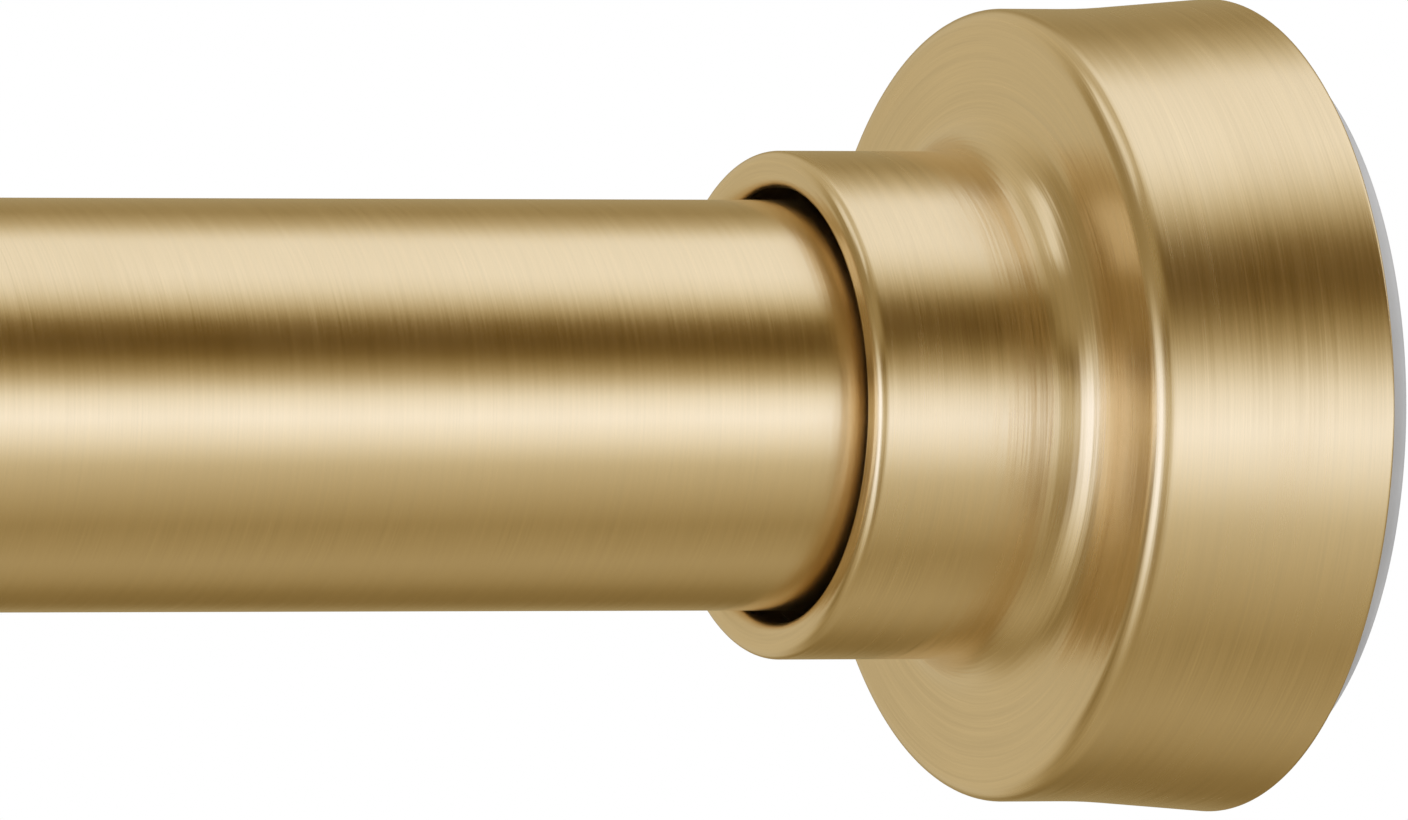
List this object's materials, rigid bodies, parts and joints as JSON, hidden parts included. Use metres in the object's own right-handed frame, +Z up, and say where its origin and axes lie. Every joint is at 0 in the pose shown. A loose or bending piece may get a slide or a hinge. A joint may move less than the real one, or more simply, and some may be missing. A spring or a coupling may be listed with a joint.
{
  "type": "spring tension rod",
  "caption": "Telescoping tube rod with round end covers, rubber wall pads, an inner thrust spring and a twist lock, for hanging a curtain between facing walls.",
  "frame": {"origin": "centre of the right foot pad's wall face", "axes": "+X along the rod, out of the right end into the wall it presses on; the rod lies at negative X; +Z up"},
  "size_m": [0.508, 0.0506, 0.0506],
  "materials": {
    "brass_finish": "steel with brushed brass-coloured plating",
    "grey_rubber": "matt moulded rubber",
    "black_rubber": "smooth rubber",
    "white_nylon": "moulded nylon",
    "black_nylon": "moulded nylon",
    "zinc_steel": "zinc plated",
    "spring_steel": "oiled drawn wire"
  },
  "bodies": {
    "outer": {"outer_tube": "brass_finish", "mouth_guide": "black_nylon", "right_end_plug": "white_nylon", "right_foot_pad": "grey_rubber"},
    "right_cover": {"right_end_cover": "brass_finish"},
    "lock": {"lock_sleeve": "white_nylon", "drag_ring": "black_rubber"},
    "nut": {"cone_nut": "black_nylon"},
    "spindle": {"spindle": "zinc_steel", "thrust_collar": "zinc_steel", "collar_pin": "zinc_steel", "stop_washer": "zinc_steel", "retaining_ring": "spring_steel"},
    "inner": {"inner_tube": "brass_finish", "drive_bush": "white_nylon", "thrust_spring": "spring_steel", "spring_stop": "white_nylon", "left_end_plug": "white_nylon", "left_foot_pad": "grey_rubber"},
    "left_cover": {"left_end_cover": "brass_finish"}
  },
  "joints": [
    {"name": "right_cover_slide", "type": "slide", "parent": "outer", "child": "right_cover", "axis": [-1, 0, 0], "range_m": [0, 0.34]},
    {"name": "length_slide", "type": "slide", "parent": "outer", "child": "lock", "axis": [-1, 0, 0], "range_m": [-0.0508, 0.2032]},
    {"name": "twist_lock", "type": "hinge", "parent": "lock", "child": "spindle", "pos_m": [-0.108, 0, 0], "axis": [-1, 0, 0], "range_deg": [0, 720]},
    {"name": "nut_travel", "type": "slide", "parent": "lock", "child": "nut", "axis": [1, 0, 0], "range_m": [0, 0.00405]},
    {"name": "spring_press", "type": "slide", "parent": "spindle", "child": "inner", "axis": [1, 0, 0], "range_m": [0, 0.015], "stiffness_N_per_m": 1800, "springref_m": -0.011, "deforming": ["thrust_spring"]},
    {"name": "left_cover_slide", "type": "slide", "parent": "inner", "child": "left_cover", "axis": [1, 0, 0], "range_m": [0, 0.018]}
  ],
  "couplings": [
    {"joint": "nut_travel", "follows": "twist_lock", "m_per_rad": 0.00031831}
  ]
}
